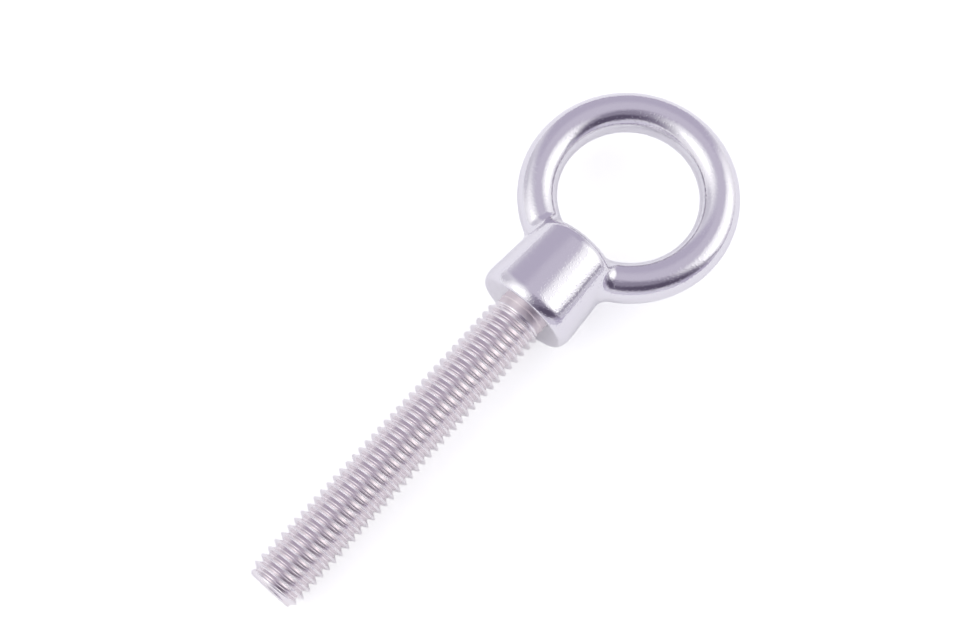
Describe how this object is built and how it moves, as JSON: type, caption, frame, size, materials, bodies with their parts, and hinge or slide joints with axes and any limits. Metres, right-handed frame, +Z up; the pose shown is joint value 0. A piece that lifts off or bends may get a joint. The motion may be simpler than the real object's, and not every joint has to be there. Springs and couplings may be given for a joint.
{
  "type": "shoulder eye bolt",
  "caption": "Forged eye bolt: a round ring eye for a hook, shackle or rope, on a tapered shoulder collar with a flat seat, above a long metric-threaded shank.",
  "frame": {"origin": "on the flat surface that the bolt lies on, under the middle of its box", "axes": "+X along the bolt from the tip towards the eye, +Y across the ring, +Z up from the surface. The bolt lies on the end of its thread and the rim of its collar, so its axis rises 3.64 degrees towards the eye. The two arms of the ring are at one height."},
  "size_m": [0.0882, 0.031, 0.0144],
  "materials": {
    "stainless_steel": "forged stainless steel, polished bright on the ring and collar, satin on the rolled thread"
  },
  "bodies": {
    "root": {"eye_bolt": "stainless_steel"}
  },
  "joints": []
}
